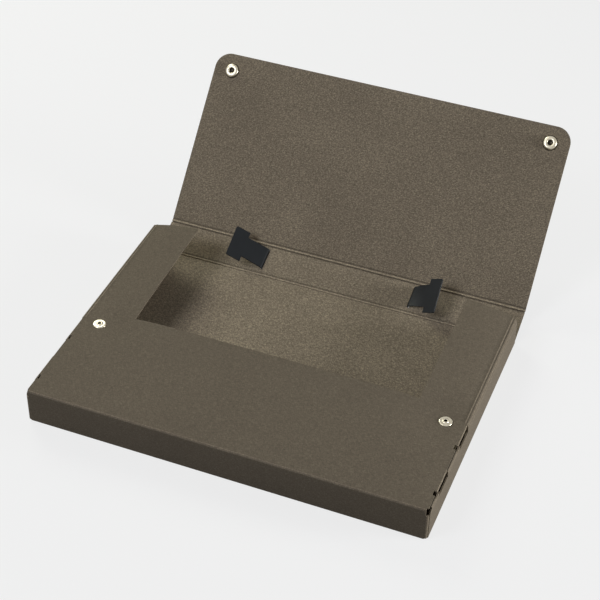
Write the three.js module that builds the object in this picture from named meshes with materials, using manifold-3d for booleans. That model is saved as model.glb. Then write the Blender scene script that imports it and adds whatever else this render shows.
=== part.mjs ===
// Document case of pressed pulp board, shown open: a shallow folded case with a cut-out top,
// a spine that hinges on a crease, a lid flap with two snaps, and a plastic strap as carry handle.
// Millimetres, +Z up, +X to the right, +Y from the front wall to the spine.
// Origin: centre of the case bottom, on the surface it stands on.

import * as THREE from 'three';
import { mergeVertices } from 'three/addons/utils/BufferGeometryUtils.js';
import Module from 'manifold-3d';

const wasm = await Module();
wasm.setup();

// Board and case
const board = 1.0; // thickness of the pulp board
const caseWidth = 330;
const caseDepth = 236.4; // front wall to the crease of the spine
const caseHeight = 31.5;
const foldRadius = 1.6; // outside radius of the folded edges
const cornerRadius = 2.6; // outside radius where the front wall turns into its end flaps
const endFlapLength = 24; // end flap of the front wall, inside the side wall
const cornerHole = 1.9; // open height left above and below a turned front corner
const lap = 0.05; // glued layers share this much, so that they are one solid

// Top panel and its two arms
const panelDepth = 112.2; // front wall to the front edge of the window
const armWidth = 43.5;
const armSetback = 6.2; // the arms end this far before the spine's crease
const wallChamferHeight = 9; // upper back corner of a side wall, cut off

// Side edges: tabs of the top panel go down through notches, flanges of the side wall lie under it
const tabCount = 2;
const firstTab = 19.3; // front wall to the first tab
const tabPitch = 50.5;
const tabLength = 23.6;
const tabReach = 14; // how far a tab goes down inside the side wall
const tabRadius = 1.8; // outside radius of a tab's fold
const tabClearance = 0.6; // tab to the inside of the side wall
const notchDepth = 5;
const notchAhead = 2.4; // open length of a notch in front of its tab
const notchBehind = 0.5;
const flangeToPost = 1.2; // a glued flange ends this far from the snaps' posts
const panelInset = 3; // the panel's edge beside a flange stays this far inside
const flangeDrop = 0.3; // a flange's fold lies this much below the top

// Scored crease between an arm and its side wall
const ridgeInset = 2.6; // outer face to the middle of the ridge
const ridgeRadius = 1.0;
const ridgeHeight = 0.3;
const grooveInset = 1.2; // outer face to the middle of the groove
const grooveWidth = 0.8;
const grooveDepth = 0.4;

// Creases that hinge: a round bead on the moving panel, a narrow gap beside it
const beadRadius = 0.8;
const creaseGap = 0.3;
const spineHeight = 31.5; // crease to crease
const spineLean = 19.9; // degrees above the table, leaning back
const lidBend = 26.55; // degrees that the lid is bent from the spine
const lidSideClearance = 0.6; // the spine and the lid are narrower than the case at each side
const lidLength = 159.2;
const lidCornerRadius = 14;

// Carry handle: a flat strap outside the spine, its T ends inside
const strapThickness = 1.0;
const strapWidth = 19.6;
const strapGap = 0.3; // strap to the board
const strapCentre = 16.2; // from the spine's lower crease
const slotSpacing = 136; // between the middles of the two slots
const slotEase = 0.4; // slot edge to the strap, all round
const strapInside = 21; // strap between the slot and its head
const headLength = 12.5;
const headWidth = 29.5;
const leftEndTilt = 31; // degrees from the spine's face
const rightEndTilt = 23;

// Snaps
const snapFromSide = 16.9; // middle of a snap to the side edge of the lid
const snapFromEnd = 15.2; // middle of a snap to the far edge of the lid
const snapHoleRadius = 1.9;
const snapClearance = 0.3;
const socketRadius = 6.1;
const socketHeight = 2.4;
const socketBore = 2.5;
const studFlangeRadius = 5.7;
const studFlangeHeight = 0.8;
const studRadius = 2.1;
const studHeight = 3.2; // above the panel
const capRadius = 6.4;
const capHeight = 1.5;
const postRadius = 1.4;
const postHeadRadius = 4.8;
const postHeadHeight = 0.8;

// Facets
const arcSteps = 5; // facets of a quarter turn at a fold
const roundSides = 32; // facets round a snap
const beadSides = 12;

const halfWidth = caseWidth / 2;
const frontY = -caseDepth / 2;
const creaseY = caseDepth / 2;
const panelEdgeY = frontY + panelDepth;
const armEndY = creaseY - armSetback;
const spineFace = board - beadRadius; // inner face of a hinged panel, from its crease's axis
const bodyEndY = creaseY - beadRadius - creaseGap; // bottom and side walls end beside the bead
const innerWall = halfWidth - board;
const cornerX = innerWall - cornerRadius;
const cornerY = frontY + cornerRadius;
const wallFrontY = frontY + cornerRadius - board / 2;
const windowHalf = halfWidth - armWidth;
const lidHalf = halfWidth - lidSideClearance;
const snapX = lidHalf - snapFromSide;
const snapDistance = lidLength - snapFromEnd; // from the lid's crease
const flangeEndX = snapX + postHeadRadius + flangeToPost;
const seatGap = 0.3; // pieces seated in a turned group keep this gap

// The lid closes onto the snaps: its tilt lets the socket sit on the stud's flange.
const closedFace = caseHeight + studFlangeHeight + snapClearance + socketHeight + seatGap;
const closedTilt = Math.asin((closedFace - (beadRadius + spineHeight - spineFace)) / snapDistance);
const studY = creaseY - snapDistance * Math.cos(closedTilt);

// Materials
function pulpBoard() {
  return new THREE.MeshStandardMaterial({ color: 0x6c6453, roughness: 0.92, metalness: 0 });
}

function blackPlastic() {
  return new THREE.MeshStandardMaterial({ color: 0x222427, roughness: 0.5, metalness: 0 });
}

function nickel() {
  return new THREE.MeshStandardMaterial({ color: 0xd8d0c0, roughness: 0.3, metalness: 1 });
}

// Points of an arc, angles in degrees
function arc(centreU, centreV, radius, from, to, steps = arcSteps) {
  return Array.from({ length: steps + 1 }, (_, i) => {
    const angle = THREE.MathUtils.degToRad(from + ((to - from) * i) / steps);
    return [centreU + radius * Math.cos(angle), centreV + radius * Math.sin(angle)];
  });
}

// Points of a full circle
function circle(centreU, centreV, radius, sides) {
  return arc(centreU, centreV, radius, 0, 360, sides).slice(0, -1);
}

// A closed mesh as a solid
function solid(geometry) {
  const bare = geometry.clone();
  bare.deleteAttribute('normal');
  bare.deleteAttribute('uv');
  const merged = mergeVertices(bare, 1e-5);
  return new wasm.Manifold(new wasm.Mesh({
    numProp: 3,
    vertProperties: new Float32Array(merged.attributes.position.array),
    triVerts: new Uint32Array(merged.index.array),
  }));
}

// A straight bar: its section lies across the axis, as (y, z), (x, z) or (x, y)
function bar(section, axis, from, to) {
  const shape = new THREE.Shape(section.map(([u, v]) => new THREE.Vector2(u, v)));
  const geometry = new THREE.ExtrudeGeometry(shape, { depth: to - from, bevelEnabled: false });
  const place = new THREE.Matrix4();
  if (axis === 'x') {
    place.set(0, 0, 1, from, 1, 0, 0, 0, 0, 1, 0, 0, 0, 0, 0, 1);
  } else if (axis === 'y') {
    place.set(1, 0, 0, 0, 0, 0, -1, to, 0, 1, 0, 0, 0, 0, 0, 1);
  } else {
    place.makeTranslation(0, 0, from);
  }
  return solid(geometry.applyMatrix4(place));
}

function box(x0, x1, y0, y1, z0, z1) {
  return bar([[x0, y0], [x1, y0], [x1, y1], [x0, y1]], 'z', z0, z1);
}

// A turned piece: a profile of (radius, height) from axis to axis, or a closed ring
function turned(profile) {
  const points = profile.map(([r, h]) => new THREE.Vector2(r, h));
  const geometry = new THREE.LatheGeometry(points, roundSides);
  geometry.rotateX(Math.PI / 2);
  return solid(geometry);
}

function joined(pieces) {
  return pieces.reduce((whole, piece) => whole.add(piece));
}

function named(name, shape, material) {
  const { vertProperties, triVerts } = shape.getMesh();
  const geometry = new THREE.BufferGeometry();
  geometry.setAttribute('position', new THREE.BufferAttribute(new Float32Array(vertProperties), 3));
  geometry.setIndex(new THREE.BufferAttribute(new Uint32Array(triVerts), 1));
  geometry.computeVertexNormals();
  const mesh = new THREE.Mesh(geometry, material);
  mesh.name = name;
  return mesh;
}

// Bottom, front wall and top panel: one strip of board with two folds
function frontStrip() {
  const inner = foldRadius - board;
  const lowY = frontY + foldRadius;
  const topZ = caseHeight - foldRadius;
  const section = [
    [bodyEndY, 0],
    ...arc(lowY, foldRadius, foldRadius, 270, 180),
    ...arc(lowY, topZ, foldRadius, 180, 90),
    [panelEdgeY, caseHeight],
    [panelEdgeY, caseHeight - board],
    ...arc(lowY, topZ, inner, 90, 180),
    ...arc(lowY, foldRadius, inner, 180, 270),
    [bodyEndY, board],
  ];
  return bar(section, 'x', -cornerX, cornerX);
}

// The front wall turns each end and runs on inside the side wall
function endFlap(side) {
  const section = [
    [side * (cornerX - 1), frontY],
    ...arc(cornerX, cornerY, cornerRadius, 270, 360).map(([x, y]) => [side * x, y]),
    [side * innerWall, cornerY + endFlapLength],
    [side * (innerWall - board), cornerY + endFlapLength],
    ...arc(cornerX, cornerY, cornerRadius - board, 360, 270).map(([x, y]) => [side * x, y]),
    [side * (cornerX - 1), frontY + board],
  ];
  return bar(section, 'z', cornerHole, caseHeight - cornerHole);
}

// Side wall, folded up from the bottom; its top edge is still plain
function sideWall(side) {
  const inner = foldRadius - board;
  const foldX = halfWidth - foldRadius;
  const section = [
    [side * (cornerX - 1), 0],
    ...arc(foldX, foldRadius, foldRadius, 270, 360).map(([x, z]) => [side * x, z]),
    [side * halfWidth, caseHeight - foldRadius],
    [side * innerWall, caseHeight - foldRadius],
    ...arc(foldX, foldRadius, inner, 360, 270).map(([x, z]) => [side * x, z]),
    [side * (cornerX - 1), board],
  ];
  const wall = bar(section, 'y', wallFrontY, bodyEndY);
  const chamfer = bar([
    [armEndY, caseHeight],
    [bodyEndY, caseHeight - wallChamferHeight],
    [bodyEndY + 1, caseHeight - wallChamferHeight],
    [bodyEndY + 1, caseHeight + 1],
    [armEndY, caseHeight + 1],
  ], 'x', Math.min(side * halfWidth, side * innerWall) - 1, Math.max(side * halfWidth, side * innerWall) + 1);
  return wall.subtract(chamfer);
}

// Fold between a side wall and its arm, and the arm itself
function arm(side) {
  const inner = foldRadius - board;
  const foldX = halfWidth - foldRadius;
  const foldZ = caseHeight - foldRadius;
  const section = [
    [side * halfWidth, foldZ - lap],
    ...arc(foldX, foldZ, foldRadius, 0, 90).map(([x, z]) => [side * x, z]),
    [side * windowHalf, caseHeight],
    [side * windowHalf, caseHeight - board],
    ...arc(foldX, foldZ, inner, 90, 0).map(([x, z]) => [side * x, z]),
    [side * innerWall, foldZ - lap],
  ];
  const startY = tabsEndY();
  const ridge = bar(
    circle(side * (halfWidth - ridgeInset), caseHeight + ridgeHeight - ridgeRadius, ridgeRadius, beadSides),
    'y', startY, armEndY,
  );
  const under = box(
    Math.min(side * halfWidth, side * windowHalf), Math.max(side * halfWidth, side * windowHalf),
    startY - 1, armEndY + 1, caseHeight - foldRadius - ridgeRadius, caseHeight - board / 2,
  );
  const grooveX = halfWidth - grooveInset;
  const groove = bar([
    [side * (grooveX - grooveWidth / 2), caseHeight + board],
    [side * (grooveX - grooveWidth / 2), caseHeight - grooveDepth / 2],
    [side * grooveX, caseHeight - grooveDepth],
    [side * (grooveX + grooveWidth / 2), caseHeight - grooveDepth / 2],
    [side * (grooveX + grooveWidth / 2), caseHeight + board],
  ], 'y', startY - 1, armEndY + 1);
  return bar(section, 'y', startY, armEndY).add(ridge.subtract(under)).subtract(groove);
}

function tabStart(index) {
  return frontY + firstTab + index * tabPitch;
}

// Where the last notch ends and the arm's crease begins
function tabsEndY() {
  return tabStart(tabCount - 1) + tabLength + notchBehind;
}

// A tab of the top panel, folded down inside the side wall
function tab(side, index) {
  const outerX = innerWall - tabClearance;
  const foldX = outerX - tabRadius;
  const foldZ = caseHeight - tabRadius;
  const section = [
    [side * (cornerX - 1), caseHeight],
    ...arc(foldX, foldZ, tabRadius, 90, 0).map(([x, z]) => [side * x, z]),
    [side * outerX, caseHeight - tabReach],
    [side * (outerX - board), caseHeight - tabReach],
    ...arc(foldX, foldZ, tabRadius - board, 0, 90).map(([x, z]) => [side * x, z]),
    [side * (cornerX - 1), caseHeight - board],
  ];
  return bar(section, 'y', tabStart(index), tabStart(index) + tabLength);
}

// A flange of the side wall, folded in and glued under the top panel
function flange(side, from, to) {
  const foldX = halfWidth - foldRadius;
  const foldZ = caseHeight - flangeDrop - foldRadius;
  const underPanel = caseHeight - board + lap;
  const section = [
    [side * halfWidth, foldZ - lap - foldRadius],
    ...arc(foldX, foldZ, foldRadius, 0, 90).map(([x, z]) => [side * x, z]),
    [side * (halfWidth - panelInset), underPanel],
    [side * flangeEndX, underPanel],
    [side * flangeEndX, underPanel - board],
    [side * (halfWidth - panelInset), underPanel - board],
    [side * innerWall, foldZ - foldRadius],
  ];
  return bar(section, 'y', from, to);
}

function caseBody() {
  const pieces = [frontStrip()];
  for (const side of [-1, 1]) {
    pieces.push(endFlap(side), sideWall(side), arm(side));
    let zoneStart = wallFrontY;
    for (let index = 0; index < tabCount; index += 1) {
      pieces.push(tab(side, index));
      pieces.push(flange(side, zoneStart, tabStart(index) - notchAhead));
      zoneStart = tabStart(index) + tabLength + notchBehind;
    }
    const edge = [side * (cornerX - 1), side * (halfWidth - panelInset)].sort((a, b) => a - b);
    pieces.push(box(...edge, frontY + foldRadius, tabsEndY() + 1, caseHeight - board, caseHeight));
  }
  let body = joined(pieces);
  for (const side of [-1, 1]) {
    const walls = [side * (innerWall - tabClearance / 2), side * (halfWidth + 1)].sort((a, b) => a - b);
    for (let index = 0; index < tabCount; index += 1) {
      const notchFrom = tabStart(index) - notchAhead;
      const notchTo = tabStart(index) + tabLength + notchBehind;
      body = body.subtract(box(...walls, notchFrom, notchTo, caseHeight - notchDepth, caseHeight + 1));
    }
    body = body.subtract(snapHole(side * snapX, studY, caseHeight - 2 * board, caseHeight + 1));
  }
  return body;
}

function snapHole(x, y, from, to) {
  return bar(circle(x, y, snapHoleRadius, roundSides), 'z', from, to);
}

// A hinged panel in its crease's own frame: x along the crease, y up the panel, z towards the inside
function hingedPanel(outline, cuts) {
  const bead = bar(circle(0, 0, beadRadius, beadSides), 'x', -lidHalf, lidHalf);
  const panel = bar(outline, 'z', -beadRadius, spineFace).add(bead);
  return cuts.reduce((rest, cut) => rest.subtract(cut), panel);
}

function slot(side) {
  const across = strapThickness / 2 + slotEase;
  const along = strapWidth / 2 + slotEase;
  const x = side * slotSpacing / 2;
  return box(x - across, x + across, strapCentre - along, strapCentre + along, -2 * board, 2 * board);
}

function spinePanel() {
  const top = spineHeight - beadRadius - creaseGap;
  const outline = [[-lidHalf, 0], [lidHalf, 0], [lidHalf, top], [-lidHalf, top]];
  return hingedPanel(outline, [slot(-1), slot(1)]);
}

function lidFlap() {
  const r = lidCornerRadius;
  const outline = [
    [-lidHalf, 0],
    [lidHalf, 0],
    ...arc(lidHalf - r, lidLength - r, r, 0, 90, 2 * arcSteps),
    ...arc(r - lidHalf, lidLength - r, r, 90, 180, 2 * arcSteps),
  ];
  const holes = [-1, 1].map((side) => snapHole(side * snapX, snapDistance, -2 * board, 2 * board));
  return hingedPanel(outline, holes);
}

// Section of a bent strap: its middle line, thickened to both sides
function thickened(line, thickness) {
  const sideOf = (sign) => line.map((point, i) => {
    const before = line[Math.max(i - 1, 0)];
    const after = line[Math.min(i + 1, line.length - 1)];
    const inward = new THREE.Vector2(point[0] - before[0], point[1] - before[1]).normalize();
    const outward = new THREE.Vector2(after[0] - point[0], after[1] - point[1]).normalize();
    const along = inward.clone().add(outward).normalize();
    const corner = Math.sqrt((1 + (inward.length() && outward.length() ? inward.dot(outward) : 1)) / 2);
    const reach = (sign * thickness) / 2 / corner;
    return [point[0] - along.y * reach, point[1] + along.x * reach];
  });
  return [...sideOf(1), ...sideOf(-1).reverse()];
}

// One end of the strap: up through its slot, then outwards at a tilt, from the middle of the strap
function strapEnd(side, tilt) {
  const outsideZ = -beadRadius - strapGap - strapThickness / 2;
  const insideZ = spineFace + strapGap + strapThickness / 2;
  const slotX = slotSpacing / 2;
  const bend = strapThickness;
  const turn = THREE.MathUtils.degToRad(tilt);
  const at = (distance) => [
    side * (slotX + distance * Math.cos(turn)), insideZ + bend / 2 + distance * Math.sin(turn),
  ];
  return {
    strap: [
      [0, outsideZ],
      ...arc(slotX - bend, outsideZ + bend, bend, 270, 360, 3).map(([x, z]) => [side * x, z]),
      [side * slotX, insideZ],
      at(bend),
      at(strapInside),
    ],
    head: [at(strapInside - lap), at(strapInside + headLength)],
  };
}

function carryHandle() {
  const low = strapCentre - strapWidth / 2;
  const high = strapCentre + strapWidth / 2;
  const left = strapEnd(-1, leftEndTilt);
  const right = strapEnd(1, rightEndTilt);
  const middle = [...left.strap.slice(1).reverse(), ...right.strap.slice(1)];
  const pieces = [bar(thickened(middle, strapThickness), 'y', low, high)];
  for (const end of [left, right]) {
    pieces.push(bar(
      thickened(end.head, strapThickness), 'y', strapCentre - headWidth / 2, strapCentre + headWidth / 2,
    ));
  }
  return joined(pieces);
}

// Snap pieces, each on the axis of its snap, with the board's near face at height 0
function studShape() {
  return turned([
    [0, studHeight - 1.1], [0.9, studHeight - 1.1], [0.9, studHeight - 0.2], [1.3, studHeight],
    [studRadius - 0.4, studHeight], [studRadius, studHeight - 0.5], [studRadius, studHeight - 1],
    [studRadius - 0.4, studHeight - 1.7], [studRadius, studFlangeHeight], [4.2, studFlangeHeight],
    [studFlangeRadius - 0.3, studFlangeHeight * 0.75], [studFlangeRadius, studFlangeHeight * 0.4],
    [studFlangeRadius, 0], [snapHoleRadius, 0], [snapHoleRadius, 0.5], [0, 0.5],
  ].reverse());
}

function postShape() {
  return turned([
    [0, 0.2], [postRadius, 0.2], [postRadius, -board], [postHeadRadius, -board],
    [postHeadRadius, -board - postHeadHeight * 0.5], [postHeadRadius - 0.5, -board - postHeadHeight],
    [0, -board - postHeadHeight],
  ].reverse());
}

function socketShape() {
  return turned([
    [socketBore, 0], [socketRadius, 0], [socketRadius, socketHeight * 0.35],
    [socketRadius - 0.4, socketHeight * 0.6], [socketRadius - 1.2, socketHeight * 0.75],
    [socketRadius - 1.8, socketHeight], [socketBore + 0.7, socketHeight],
    [socketBore, socketHeight * 0.75], [socketBore, 0],
  ]);
}

function capShape() {
  return turned([
    [0, -capHeight], [capRadius * 0.5, -capHeight * 0.92], [capRadius * 0.85, -capHeight * 0.6],
    [capRadius, -capHeight * 0.25], [capRadius, 0], [postRadius, 0],
    [postRadius, board + seatGap], [0, board + seatGap],
  ]);
}

const documentCase = new THREE.Group();
documentCase.add(named('case_body', caseBody(), pulpBoard()));

const spine = new THREE.Group();
spine.position.set(0, creaseY, beadRadius);
spine.rotation.x = THREE.MathUtils.degToRad(spineLean);
spine.add(named('spine_panel', spinePanel(), pulpBoard()));
spine.add(named('carry_handle', carryHandle(), blackPlastic()));
documentCase.add(spine);

const lid = new THREE.Group();
lid.position.set(0, spineHeight, 0);
lid.rotation.x = THREE.MathUtils.degToRad(lidBend);
lid.add(named('lid_flap', lidFlap(), pulpBoard()));
spine.add(lid);

for (const [side, word] of [[-1, 'left'], [1, 'right']]) {
  const x = side * snapX;
  const post = named(`panel_post_${word}`, postShape(), nickel());
  const stud = named(`panel_stud_${word}`, studShape(), nickel());
  post.position.set(x, studY, caseHeight);
  stud.position.set(x, studY, caseHeight);
  documentCase.add(post, stud);

  const socket = named(`lid_socket_${word}`, socketShape(), nickel());
  const cap = named(`lid_cap_${word}`, capShape(), nickel());
  socket.position.set(x, snapDistance, spineFace + seatGap);
  cap.position.set(x, snapDistance, -beadRadius - seatGap);
  lid.add(socket, cap);
}

export default documentCase;
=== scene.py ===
# Open document case of pressed pulp board: boards, creases, strap handle and snaps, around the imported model
import math

import bpy
import numpy as np
from mathutils import Matrix, Vector


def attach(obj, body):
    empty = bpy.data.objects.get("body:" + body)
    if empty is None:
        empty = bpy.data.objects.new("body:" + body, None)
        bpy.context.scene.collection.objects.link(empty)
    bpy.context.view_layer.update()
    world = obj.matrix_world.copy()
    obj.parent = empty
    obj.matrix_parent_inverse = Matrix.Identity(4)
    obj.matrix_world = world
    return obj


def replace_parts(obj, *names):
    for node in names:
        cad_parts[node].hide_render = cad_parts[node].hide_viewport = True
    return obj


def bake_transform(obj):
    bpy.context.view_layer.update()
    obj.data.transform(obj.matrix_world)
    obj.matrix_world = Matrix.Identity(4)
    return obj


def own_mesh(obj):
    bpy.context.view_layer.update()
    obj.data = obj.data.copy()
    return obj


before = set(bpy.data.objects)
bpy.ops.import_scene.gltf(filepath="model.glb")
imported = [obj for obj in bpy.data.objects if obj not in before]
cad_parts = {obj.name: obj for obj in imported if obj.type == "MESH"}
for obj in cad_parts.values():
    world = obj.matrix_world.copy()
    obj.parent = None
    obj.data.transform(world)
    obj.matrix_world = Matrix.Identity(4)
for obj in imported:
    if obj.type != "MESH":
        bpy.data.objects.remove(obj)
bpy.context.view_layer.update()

mm = 0.001  # every size below is in millimetres; meshes are written in metres


# Camera of the photograph

camera = {
    "azimuth": 20.942,  # degrees, from the front towards the right
    "elevation": 39.959,
    "roll": 1.135,
    "place": (354.48, -882.55, 882.10),
    "focalPixels": 1594.65,  # focal length on a picture 600 pixels wide
    "pictureWidth": 600,
    "sensorWidth": 36.0,
    "clip": (10, 20000),
}


def makeCamera(c):
    data = bpy.data.cameras.new("photoCamera")
    obj = bpy.data.objects.new("photoCamera", data)
    bpy.context.scene.collection.objects.link(obj)
    a, e, r = (math.radians(c[key]) for key in ("azimuth", "elevation", "roll"))
    back = Vector((math.sin(a) * math.cos(e), -math.cos(a) * math.cos(e), math.sin(e)))
    right = Vector((math.cos(a), math.sin(a), 0))
    up = back.cross(right)
    turned = (math.cos(r) * right + math.sin(r) * up, math.cos(r) * up - math.sin(r) * right, back)
    matrix = Matrix(turned).transposed().to_4x4()
    matrix.translation = Vector(c["place"]) * mm
    obj.matrix_world = matrix
    data.sensor_width = c["sensorWidth"]
    data.lens = c["focalPixels"] * c["sensorWidth"] / c["pictureWidth"]
    data.clip_start, data.clip_end = [distance * mm for distance in c["clip"]]
    bpy.context.scene.camera = obj
    print("camera set")


# Materials

def linearOf(hexColour):
    # sRGB hex to linear red, green and blue, and full alpha
    values = [int(hexColour[i:i + 2], 16) / 255 for i in (1, 3, 5)]
    return (*[v / 12.92 if v <= 0.04045 else ((v + 0.055) / 1.055) ** 2.4 for v in values], 1.0)


def addNode(tree, kind, settings=None, links=None):
    # one node: settings are its properties and its sockets' values, links are {socket: output socket}
    node = tree.nodes.new(kind)
    for key, value in (settings or {}).items():
        if isinstance(key, str) and hasattr(node, key):
            setattr(node, key, value)
        else:
            node.inputs[key].default_value = value
    for key, output in (links or {}).items():
        tree.links.new(output, node.inputs[key])
    return node


def newMaterial(name):
    material = bpy.data.materials.new(name)
    material.use_nodes = True
    material.node_tree.nodes.clear()
    return material, material.node_tree


def fibreField(tree, coords, turn, long, across, detail):
    # noise stretched along one direction in the board's plane: pulp fibres of that length and width, in mm
    place = addNode(tree, "ShaderNodeMapping", {
        "vector_type": "TEXTURE", "Rotation": (0, 0, math.radians(turn)),
        "Scale": (long * mm, across * mm, across * mm),
    }, {"Vector": coords})
    return addNode(tree, "ShaderNodeTexNoise", {
        "Scale": 1.0, "Detail": detail, "Roughness": 0.6,
    }, {"Vector": place.outputs["Vector"]}).outputs["Fac"]


boardLook = {
    "dark": "#403A30",
    "middle": "#6B6153",
    "light": "#9C907A",
    "outerContrast": 0.5,  # the outer side is calendered smoother, so its flecks show less
    "innerToneAndLight": 1.63,  # the side of the board that faces the documents is paler in its own tone, and this gain also paints in light that the lamps don't give it
    "cloudSize": 60,  # slow change of tone from the pulp's formation
    "cloudShare": 0.2,
    "fibreLength": 2.4,
    "fibreWidth": 0.8,  # real fibres are finer, this is as fine as the render shows
    "fibreTurns": (24, -52),  # degrees
    "fleckSize": 0.7,
    "fleckShare": 0.9,
    "grainRange": (1.0, 2.1),  # of the summed noises, from the dark colour to the light one
    "reliefHeight": 0.06,
    "reliefStrength": 0.6,
    "strawLength": 4.0,  # single pale fibres that lie in the surface
    "strawWidth": 0.7,
    "strawTurn": 71,
    "strawRange": (0.72, 0.78),  # only the peaks of their noise show
    "strawGain": 0.5,
    "foldHighlightGain": 0.9,  # painted highlight: how much paler a fold or ridge is made, for each 1/mm that it bends
    # painted shade: how much darker a valley is made, for each 1/mm that it bends inward
    "valleyShadeLoss": 0.75,
    "paintedLightNoise": (0.3, 0.7),  # the usual range of the flecks' noise
    "paintedLightRange": (0.6, 1.3),  # the painted highlights and painted shade vary unevenly, between these factors
    "roughness": 0.88,
    "ior": 1.45,
    "specular": 0.3,
}


def pulpBoardMaterial(look):
    # pulp board, felt-marked and pressed: matt olive brown with lighter and darker fibre flecks and a fine
    # tooth; paler on its inner side, partly its own tone and partly painted light; painted highlights on
    # folds and ridges, and painted shade in the pressed valleys and creases
    material, tree = newMaterial("pulpBoard")
    coords = addNode(tree, "ShaderNodeTexCoord").outputs["Object"]
    cloud = addNode(tree, "ShaderNodeTexNoise", {
        "Scale": 1 / (look["cloudSize"] * mm), "Detail": 2.0,
    }, {"Vector": coords}).outputs["Fac"]
    one, two = [
        fibreField(tree, coords, turn, look["fibreLength"], look["fibreWidth"], 2.0)
        for turn in look["fibreTurns"]
    ]
    fleck = addNode(tree, "ShaderNodeTexNoise", {
        "Scale": 1 / (look["fleckSize"] * mm), "Detail": 3.0, "Roughness": 0.7,
    }, {"Vector": coords}).outputs["Fac"]
    fibres = addNode(tree, "ShaderNodeMath", {"operation": "ADD"}, {0: one, 1: two}).outputs[0]
    grain = addNode(tree, "ShaderNodeMath", {
        "operation": "MULTIPLY_ADD", 1: look["fleckShare"],
    }, {0: fleck, 2: fibres}).outputs[0]
    whole = addNode(tree, "ShaderNodeMath", {
        "operation": "MULTIPLY_ADD", 1: look["cloudShare"],
    }, {0: cloud, 2: grain}).outputs[0]
    spread = addNode(tree, "ShaderNodeMapRange", {
        "From Min": look["grainRange"][0], "From Max": look["grainRange"][1],
    }, {"Value": whole}).outputs[0]
    # the outer side's tones are drawn in towards the middle one
    inner = addNode(tree, "ShaderNodeAttribute", {"attribute_name": "inner"}).outputs["Fac"]
    contrast = addNode(tree, "ShaderNodeMapRange", {
        "To Min": look["outerContrast"],
    }, {"Value": inner}).outputs[0]
    centred = addNode(tree, "ShaderNodeMath", {"operation": "SUBTRACT", 1: 0.5}, {0: spread}).outputs[0]
    scaled = addNode(tree, "ShaderNodeMath", {
        "operation": "MULTIPLY_ADD", 2: 0.5,
    }, {0: centred, 1: contrast}).outputs[0]
    ramp = addNode(tree, "ShaderNodeValToRGB", links={"Fac": scaled})
    ramp.color_ramp.elements[0].color = linearOf(look["dark"])
    ramp.color_ramp.elements[1].color = linearOf(look["light"])
    ramp.color_ramp.elements.new(0.5).color = linearOf(look["middle"])

    # the bend becomes painted highlights on folds and ridges and painted shade in valleys and creases, made
    # uneven by the flecks' noise
    bend = addNode(tree, "ShaderNodeAttribute", {"attribute_name": "bend"}).outputs["Fac"]
    paintedLight = addNode(tree, "ShaderNodeMapRange", {"To Max": look["foldHighlightGain"]}, {"Value": bend}).outputs[0]
    valleyShade = addNode(tree, "ShaderNodeMapRange", {
        "From Min": -1.0, "From Max": 0.0, "To Min": -look["valleyShadeLoss"], "To Max": 0.0,
    }, {"Value": bend}).outputs[0]
    edges = addNode(tree, "ShaderNodeMath", {"operation": "ADD"}, {0: paintedLight, 1: valleyShade}).outputs[0]
    uneven = addNode(tree, "ShaderNodeMapRange", {
        "From Min": look["paintedLightNoise"][0], "From Max": look["paintedLightNoise"][1],
        "To Min": look["paintedLightRange"][0], "To Max": look["paintedLightRange"][1],
    }, {"Value": fleck}).outputs[0]
    wearAndPaintedLight = addNode(tree, "ShaderNodeMath", {"operation": "MULTIPLY"}, {0: edges, 1: uneven}).outputs[0]
    straws = addNode(tree, "ShaderNodeMapRange", {
        "From Min": look["strawRange"][0], "From Max": look["strawRange"][1], "To Max": look["strawGain"],
    }, {
        "Value": fibreField(tree, coords, look["strawTurn"], look["strawLength"], look["strawWidth"], 1.0),
    }).outputs[0]
    change = addNode(tree, "ShaderNodeMath", {"operation": "ADD"}, {0: wearAndPaintedLight, 1: straws}).outputs[0]
    # the inner side is made paler: partly its own tone, partly painted light
    side = addNode(tree, "ShaderNodeMath", {
        "operation": "MULTIPLY_ADD", 1: look["innerToneAndLight"] - 1, 2: 1.0,
    }, {0: inner}).outputs[0]
    gain = addNode(tree, "ShaderNodeMath", {"operation": "ADD"}, {0: side, 1: change}).outputs[0]
    colour = addNode(tree, "ShaderNodeVectorMath", {
        "operation": "SCALE",
    }, {0: ramp.outputs["Color"], "Scale": gain})
    bump = addNode(tree, "ShaderNodeBump", {
        "Strength": look["reliefStrength"], "Distance": look["reliefHeight"] * mm,
    }, {"Height": grain})
    shader = addNode(tree, "ShaderNodeBsdfPrincipled", {
        "Roughness": look["roughness"], "IOR": look["ior"], "Specular IOR Level": look["specular"],
    }, {"Base Color": colour.outputs[0], "Normal": bump.outputs["Normal"]})
    addNode(tree, "ShaderNodeOutputMaterial", links={"Surface": shader.outputs["BSDF"]})
    return material


strapLook = {
    "colour": "#101214",
    "wearAndPaintedLight": "#191C1F",
    "scuffSize": 9,
    "roughness": (0.42, 0.6),  # from smooth to scuffed
    "grainSize": 0.5,
    "grainHeight": 0.03,
    "grainStrength": 0.25,
    "ior": 1.49,
    "specular": 0.2,
}


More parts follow.
